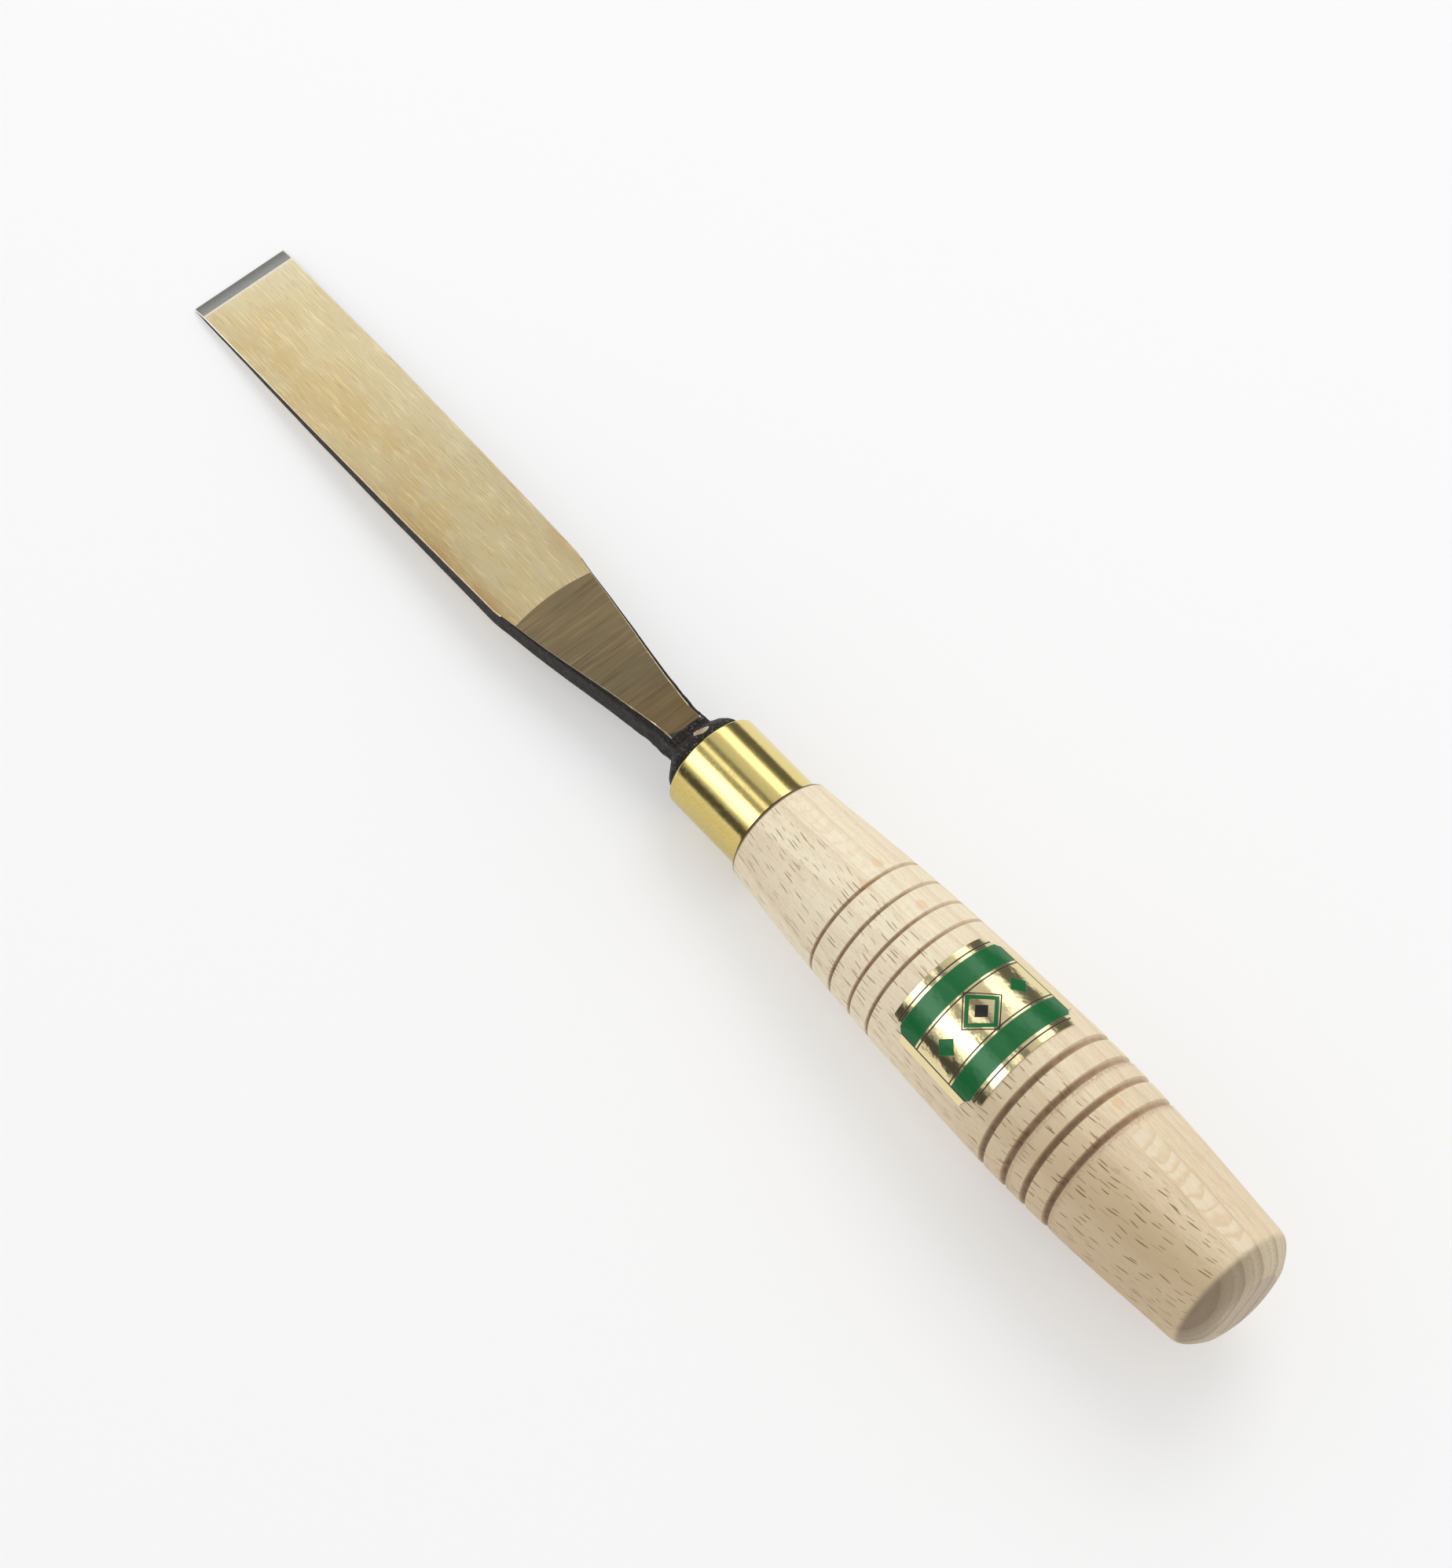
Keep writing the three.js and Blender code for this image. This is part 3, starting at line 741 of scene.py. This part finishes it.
def turned_wood(graph, x, turn, fibres, fine, specks):
    """Colour of the handle's side: paler in front and browner at the rear, with painted shade on the -Y
    flank towards the rear.
    """
    cloud = graph.noise(fibres, 0.03, 0.12, 0.12, 3, 0.5)
    front, rear = rgb(0.90, 0.81, 0.61), rgb(0.80, 0.665, 0.455)
    colour = graph.mix(graph.step(x, FRONT_X, REAR_X), front, rear)
    colour = graph.mix(graph.step(turn, 8.0, 35.0, 0.0, 0.35), colour, rgb(0.76, 0.63, 0.44))
    # painted shade: the -Y flank darkens, most towards the rear
    side = graph.times(graph.step(turn, 5.0, -35.0), graph.step(x, 50.0, REAR_X, 0.03, 1.0))
    colour = graph.mix(graph.times(side, 0.75), colour, rgb(0.46, 0.33, 0.18))
    colour = graph.mix(graph.step(cloud, 0.35, 0.65, 0.0, 0.3), colour, rgb(0.77, 0.61, 0.43))
    grainy = graph.times(graph.step(fine, 0.46, 0.68), graph.step(x, FRONT_X, REAR_X, 0.22, 0.42))
    colour = graph.mix(grainy, colour, rgb(0.58, 0.43, 0.26))
    return graph.mix(graph.step(specks, 0.52, 0.68, 0.0, 0.32), colour, rgb(0.52, 0.38, 0.23))


def end_wood(graph, place, late):
    """Colour of the butt's end grain, which is greyer; its rounded rim carries painted shade on the -Y
    and upper side and painted light towards +Y.
    """
    _, y, z = graph.split(place)
    pores = graph.noise(place, 3.5, 3.5, 3.5, 3, 0.7)
    # painted light and shade round the rim: it darkens away from the light, towards -Y and the top
    to_light = graph.minus(graph.times(y, 0.72), graph.times(z, 0.6))
    shaded_rim, lit_rim, middle = rgb(0.24, 0.18, 0.115), rgb(0.64, 0.54, 0.37), rgb(0.52, 0.42, 0.30)
    rim = graph.mix(graph.step(to_light, -12.0, 0.5), shaded_rim, lit_rim)
    colour = graph.mix(graph.step(graph.length(y, z), 6.3, 6.9), middle, rim)
    colour = graph.mix(graph.times(late, 0.5), colour, rgb(0.17, 0.11, 0.06))
    return graph.mix(graph.step(pores, 0.5, 0.7, 0.0, 0.45), colour, rgb(0.19, 0.135, 0.08))


def burnt(graph, colour, x, turn, place):
    """Adds the burnt grooves, less burnt in front and, partly as painted light, towards +Y, and a line
    of painted shade along the wood's edge at the ferrule.
    """
    burn = graph.point_value("burn")
    # the burn is weaker towards +Y: partly a real change in the burn, partly painted light on the groove
    # walls that face the light
    burn = graph.times(burn, graph.step(turn, -25.0, 40.0, 1.0, 0.45))
    burn = graph.times(burn, graph.step(x, 56.0, 80.0, 0.78, 1.0))
    scorch = graph.mix(graph.step(burn, 0.5, 1.0), rgb(0.29, 0.16, 0.075), rgb(0.11, 0.053, 0.021))
    patchy = graph.add(graph.times(graph.noise(place, 0.5, 0.7, 0.7, 3, 0.6), 0.5), 0.7)
    patchy = graph.times(graph.step(burn, 0.05, 0.6, 0.0, 0.9), patchy)
    colour = graph.mix(patchy, colour, scorch)
    # painted shade: a dark line along the wood's front edge, where it meets the ferrule
    return graph.mix(graph.step(x, 17.7, 18.1, 0.95, 0.0), colour, rgb(0.08, 0.04, 0.015))


def beech():
    made, graph, shader = material("handle_turned_beech", 0.0, Specular_IOR_Level=0.35)
    place = graph.millimetres()
    x, y, z = graph.split(place)
    turn = graph.math("DEGREES", graph.math("ARCTAN2", y, z))
    wave = graph.minus(graph.noise(place, 0.035, 0.04, 0.04, 2, 0.5), 0.5)
    fibre_y = graph.add(y, graph.times(wave, 3.0))
    fibres = graph.node("CombineXYZ", {0: x, 1: fibre_y, 2: z}).outputs[0]
    fine = graph.noise(fibres, 0.12, 3.2, 3.2, 3, 0.6)
    specks = graph.noise(place, 1.4, 3.0, 3.0, 4, 0.7)
    late = late_wood(graph, fibre_y, z)
    colour = turned_wood(graph, x, turn, fibres, fine, specks)
    colour = graph.mix(graph.times(late, 0.32), colour, rgb(0.56, 0.38, 0.22))
    colour = silver_figure(graph, colour, x, turn, place)
    colour = pitch_spots(graph, colour, x, turn)

    # the dashes show where the wood is cut flat to its rings, and not on the end grain
    end = graph.point_value("end_grain")
    flat_sawn = graph.times(graph.step(turn, 5.0, -7.0), graph.minus(1.0, end))
    ray = graph.times(wood_rays(graph, x, turn, place), flat_sawn)
    ray_darkness = graph.times(ray, graph.step(x, FRONT_X, REAR_X, 0.68, 0.9))
    colour = graph.mix(ray_darkness, colour, rgb(0.23, 0.13, 0.055))
    colour = graph.mix(end, colour, end_wood(graph, place, late))
    colour = burnt(graph, colour, x, turn, place)
    fuzz = graph.step(graph.noise(place, 3, 3, 3, 3, 0.6), 0.42, 0.6)
    fuzz = graph.times(graph.point_value("torn"), fuzz)
    colour = graph.mix(graph.times(fuzz, 0.6), colour, rgb(0.60, 0.38, 0.26))

    height = graph.add(graph.times(fine, 0.35), graph.times(graph.minus(1.0, ray), 0.6))
    height = graph.add(height, graph.times(graph.noise(place, 2.2, 0.02, 0.02), 0.25))
    height = graph.add(height, graph.times(specks, 0.3))
    height = graph.add(height, graph.times(fuzz, 0.8))
    graph.feed(shader.inputs["Base Color"], colour)
    graph.feed(shader.inputs["Roughness"], graph.step(fine, 0.3, 0.7, 0.5, 0.64))
    graph.feed(shader.inputs["Normal"], graph.bump(height, 0.09))
    return made


def groove_depth(x):
    """Depth of the burnt grooves at x, and how burnt the surface is there, 0 to 1."""
    depth = np.zeros_like(x)
    burn = np.zeros_like(x)
    for centre, width, deepest in GROOVES:
        across = np.abs(x - centre) / (width / 2)
        shape = np.where(across < 1, 1 - across**3, 0)
        depth = np.maximum(depth, deepest * shape)
        burn = np.maximum(burn, smoothstep(1.25, 0.2, across))
    return depth, burn


def handle_profile():
    """(x, radius) from the blind end of the bore, round the outside, to the butt."""
    start, end = HANDLE_RADII[0][0], HANDLE_RADII[-1][0]
    front_radius = float(spline(HANDLE_RADII, start))
    shoulder = arc(start + SHOULDER_ROUND, front_radius - SHOULDER_ROUND, SHOULDER_ROUND, 180, 92, 6)
    plain = np.arange(start + 1, end - 0.3, 0.6)
    cuts = [np.linspace(c - w * 0.8, c + w * 0.8, 17) for c, w, _ in GROOVES]
    x = np.unique(np.concatenate([plain, *cuts]))
    radius = spline(HANDLE_RADII, x) - groove_depth(x)[0]
    bore = [(BORE_DEPTH, 0), (BORE_DEPTH, BORE_TIP_RADIUS), (SPIGOT_START, BORE_MOUTH_RADIUS)]
    spigot = [(SPIGOT_START, SPIGOT_RADIUS), (start, SPIGOT_RADIUS)]
    along = np.linspace(0, len(BUTT) - 1, 41)[1:]
    butt_x, butt_radius = [spline(list(enumerate(values)), along) for values in zip(*BUTT)]
    middle = [(BUTT_END_X + offset, middle_radius) for offset, middle_radius in BUTT_MIDDLE]
    body = list(zip(x, radius))
    return bore + spigot + shoulder + body + list(zip(butt_x, butt_radius)) + middle


def handle():
    profile = handle_profile()
    rings = revolve(profile, HANDLE_SEGMENTS)
    x = rings[..., 0]
    radius = np.hypot(rings[..., 1], rings[..., 2])
    outer = (radius > 9) & (x > 18)   # not the bore, the spigot or the butt's flat middle
    burn = np.where(outer, groove_depth(x)[1], 0)
    end_grain = smoothstep(*END_GRAIN_X, x)
    torn = np.zeros_like(x)
    for centre in TORN_GROOVES:
        torn = np.maximum(torn, smoothstep(0.9, 0.1, np.abs(x - (centre + TORN_LIP))) * outer)
    # the surface waves by 0.02 mm round a line 0.06 mm inside the CAD's, and the torn lips are rougher
    wobble = 0.02 * (bumps(rings, 6.0) - 3) + 0.12 * torn * (bumps(rings, 0.5) - 0.5)
    scale = np.where(outer, 1 + wobble / np.maximum(radius, 1), 1)
    rings[..., 1] *= scale
    rings[..., 2] *= scale
    return closed_piece("handle_turning", rings, "handle", [beech()], sharp=35,
                        points={"burn": burn, "end_grain": end_grain, "torn": torn})


# ---------------------------------------------------------------- foil label


PRINT_HALF_GIRTH = 12.6        # the printed area's size, and where its outer rules are
PRINT_HALF_LENGTH = 9.4
BAND_AT = 6.6                  # two green bands, this far to either side of the middle
BAND_HALF_WIDTH = 2.1
INNER_RULE_AT = 4.0
RULE_HALF_WIDTH = 0.13
SMALL_DIAMOND_AT = 8.2
PRINT_BLUR = 0.05


def diamond(graph, along, around, size, centre_around=0.0):
    off_along = graph.math("ABSOLUTE", along)
    off_around = graph.math("ABSOLUTE", graph.minus(around, centre_around))
    reach = graph.add(off_along, off_around)
    return graph.step(reach, size - PRINT_BLUR, size + PRINT_BLUR, 1.0, 0.0)


def diamond_line(graph, along, around, outer, inner):
    hole = graph.minus(1.0, diamond(graph, along, around, inner))
    return graph.times(diamond(graph, along, around, outer), hole)


def green_print(graph, along, around, inside):
    bands = [graph.band(along, at, BAND_HALF_WIDTH, PRINT_BLUR) for at in (BAND_AT, -BAND_AT)]
    small = [diamond(graph, along, around, 1.9, at) for at in (SMALL_DIAMOND_AT, -SMALL_DIAMOND_AT)]
    bands = graph.times(graph.most(*bands), inside)
    return graph.most(bands, diamond_line(graph, along, around, 3.9, 2.9), *small)


def black_print(graph, along, around, inside):
    places = (-PRINT_HALF_LENGTH, -INNER_RULE_AT, INNER_RULE_AT, PRINT_HALF_LENGTH)
    rules = [graph.band(along, at, RULE_HALF_WIDTH, PRINT_BLUR) for at in places]
    places = (-PRINT_HALF_GIRTH, PRINT_HALF_GIRTH)
    ends = [graph.band(around, at, RULE_HALF_WIDTH, PRINT_BLUR) for at in places]
    rules = graph.times(graph.most(*rules), inside)
    ends = graph.times(graph.most(*ends), graph.band(along, 0.0, PRINT_HALF_LENGTH, PRINT_BLUR))
    centre = diamond(graph, along, around, 1.5)
    return graph.most(rules, ends, centre, diamond_line(graph, along, around, 4.5, 4.2))


def foil():
    """Gold foil printed with green bands, diamonds and thin black rules."""
    made, graph, shader = material("label_printed_foil", 1.0)
    place = graph.millimetres()
    x, y, z = graph.split(place)
    along = graph.minus(x, LABEL_X)
    sideways = graph.math("ARCTAN2", y, z)
    around = graph.times(graph.add(sideways, math.radians(LABEL_TURN)), LABEL_RADIUS)
    inside = graph.band(around, 0.0, PRINT_HALF_GIRTH, PRINT_BLUR)
    green = green_print(graph, along, around, inside)
    black = black_print(graph, along, around, inside)
    ink = graph.most(green, black)
    crease = graph.noise(place, 0.22, 0.22, 0.22, 3, 0.5)
    grain = graph.noise(place, 6, 6, 6, 2, 0.5)
    colour = graph.mix(crease, rgb(0.80, 0.66, 0.33), rgb(0.88, 0.78, 0.48))
    colour = graph.mix(green, colour, rgb(0.004, 0.13, 0.030))
    colour = graph.mix(black, colour, rgb(0.012, 0.012, 0.010))
    height = graph.add(graph.times(crease, 0.9), graph.times(grain, 0.02))
    graph.feed(shader.inputs["Base Color"], colour)
    graph.feed(shader.inputs["Metallic"], graph.minus(1.0, graph.times(ink, 0.9)))
    graph.feed(shader.inputs["Roughness"], graph.step(ink, 0.0, 1.0, 0.14, 0.26))
    graph.feed(shader.inputs["Normal"], graph.bump(height, 0.25))
    return made


def label():
    half_girth = math.radians(LABEL_GIRTH / 2)
    turn = math.radians(LABEL_TURN)
    arc_radius = float(spline(HANDLE_RADII, LABEL_X))
    across = np.linspace(-1, 1, 41)
    rings = []
    for angle in np.linspace(-half_girth, half_girth, 181):
        from_end = (half_girth - abs(angle)) * arc_radius
        hollow = math.sqrt(max(0, LABEL_NOTCH**2 - from_end**2))
        x = LABEL_X + (LABEL_LENGTH / 2 - hollow) * across
        radius = spline(HANDLE_RADII, x) + LABEL_LIFT
        loop_x = np.concatenate([x, x[::-1]])
        loop_radius = np.concatenate([radius, radius[::-1] + LABEL_THICKNESS])
        at = angle + turn
        rings.append(np.stack([loop_x, -loop_radius * math.sin(at), loop_radius * math.cos(at)], -1))
    rings = np.array(rings)
    # each end is closed by a ring drawn in to its middle
    ends = [np.repeat(rings[i].mean(0, keepdims=True), rings.shape[1], 0)[None] for i in (0, -1)]
    rings = np.concatenate([ends[0], rings, ends[1]])
    return closed_piece("label_sticker", rings, "label", [foil()])


# ---------------------------------------------------------------- camera, lights and floor

CAMERA_AIM = (7.0, -2.7, 4.8)  # on the tool, in its own axes
CAMERA_TURN = 46.36            # degrees round from the tool's -Y side towards +X
CAMERA_RISE = 63.86            # degrees above the floor
CAMERA_ROLL = 3.64             # degrees
CAMERA_LENS = 93.5             # on a 36 mm frame
CAMERA_DISTANCE = 683.3


def camera():
    aim = TOOL @ (Vector(CAMERA_AIM) * MM)
    turn, rise = math.radians(CAMERA_TURN), math.radians(CAMERA_RISE)
    back = Vector((math.sin(turn) * math.cos(rise), -math.cos(turn) * math.cos(rise), math.sin(rise)))
    data = bpy.data.cameras.new("camera")
    data.lens = CAMERA_LENS
    data.sensor_width = 36
    obj = bpy.data.objects.new("camera", data)
    bpy.context.scene.collection.objects.link(obj)
    level = back.to_track_quat("Z", "Y").to_matrix().to_4x4()
    roll = Matrix.Rotation(math.radians(CAMERA_ROLL), 4, "Z")
    obj.matrix_world = Matrix.Translation(aim + back * CAMERA_DISTANCE * MM) @ level @ roll
    bpy.context.scene.camera = obj


FLOOR_HALF_SIZE = 4.0          # metres
FLOOR_COLOUR = 0.62
FLOOR_GLOW = 0.32              # it stands for paper on a softly lit table


def floor():
    size = FLOOR_HALF_SIZE
    corners = [(-size, -size, 0), (size, -size, 0), (size, size, 0), (-size, size, 0)]
    mesh = bpy.data.meshes.new("floor")
    mesh.from_pydata(corners, [], [(0, 1, 2, 3)])
    obj = bpy.data.objects.new("floor", mesh)
    bpy.context.scene.collection.objects.link(obj)
    made, _, shader = material("floor_paper", 0.0, Roughness=0.95)
    shader.inputs["Base Color"].default_value = grey(FLOOR_COLOUR)
    shader.inputs["Emission Color"].default_value = grey(1.0)
    shader.inputs["Emission Strength"].default_value = FLOOR_GLOW
    mesh.materials.append(made)


# brightness that polished parts reflect, by degrees round the tool's axis from straight up towards
# +Y: two soft boxes, a narrow strip and dark gaps between them
ROOM = [(-180, 0.6), (-96, 0.32), (-91, 0.06), (-70, 0.06), (-61, 0.7), (-50, 2.6), (-28, 2.8),
        (-25, 0.42), (-13, 0.36), (-11, 1.35), (-3, 1.3), (-1, 0.22), (9, 0.22), (12, 0.62), (33, 0.72),
        (37, 1.9), (52, 1.9), (59, 0.3), (66, 0.13), (88, 0.13), (94, 0.5), (180, 0.6)]
SOFT_LIGHT = 0.80              # what lights everything evenly
BACKDROP = 0.93                # what shows beyond the floor


def room():
    world = bpy.data.worlds.new("studio")
    world.use_nodes = True
    graph = Graph(world.node_tree)
    direction = graph.node("TexCoord").outputs["Generated"]
    side = TOOL.to_3x3() @ Vector((0, 1, 0))
    above = TOOL.to_3x3() @ Vector((0, 0, 1))
    to_side = graph.vector_math("DOT_PRODUCT", direction, side, "Value")
    to_above = graph.vector_math("DOT_PRODUCT", direction, above, "Value")
    angle = graph.math("ARCTAN2", to_side, to_above)
    turn = graph.add(graph.times(angle, 1 / (2 * math.pi)), 0.5)
    peak = max(level for _, level in ROOM)
    stops = []
    for degrees, level in ROOM:
        share = level / peak
        warmer = share * (0.85 + 0.15 * level)   # the dark gaps are a little warm
        stops.append(((degrees + 180) / 360, rgb(share, share, warmer)))
    boxes = graph.times(graph.ramp(turn, stops), peak)
    path = graph.node("LightPath").outputs
    level = graph.mix(path["Is Glossy Ray"], grey(SOFT_LIGHT), boxes)
    level = graph.mix(path["Is Camera Ray"], level, grey(BACKDROP))
    graph.feed(world.node_tree.nodes["Background"].inputs[0], level)
    bpy.context.scene.world = world


KEY_PLACE = (-0.55, 1.0, 1.35) # metres
KEY_SIZE = 1.1                 # metres
KEY_POWER = 9.0                # watts


def key_light():
    data = bpy.data.lights.new("key", "AREA")
    data.shape = "SQUARE"
    data.size = KEY_SIZE
    data.energy = KEY_POWER
    obj = bpy.data.objects.new("key", data)
    obj.location = KEY_PLACE
    obj.rotation_euler = Vector(obj.location).to_track_quat("Z", "Y").to_euler()
    obj.visible_glossy = False
    bpy.context.scene.collection.objects.link(obj)


# ---------------------------------------------------------------- scene

camera()
floor()
room()
key_light()
blade()
ferrule()
handle()
label()
bpy.context.scene.view_settings.view_transform = "Standard"
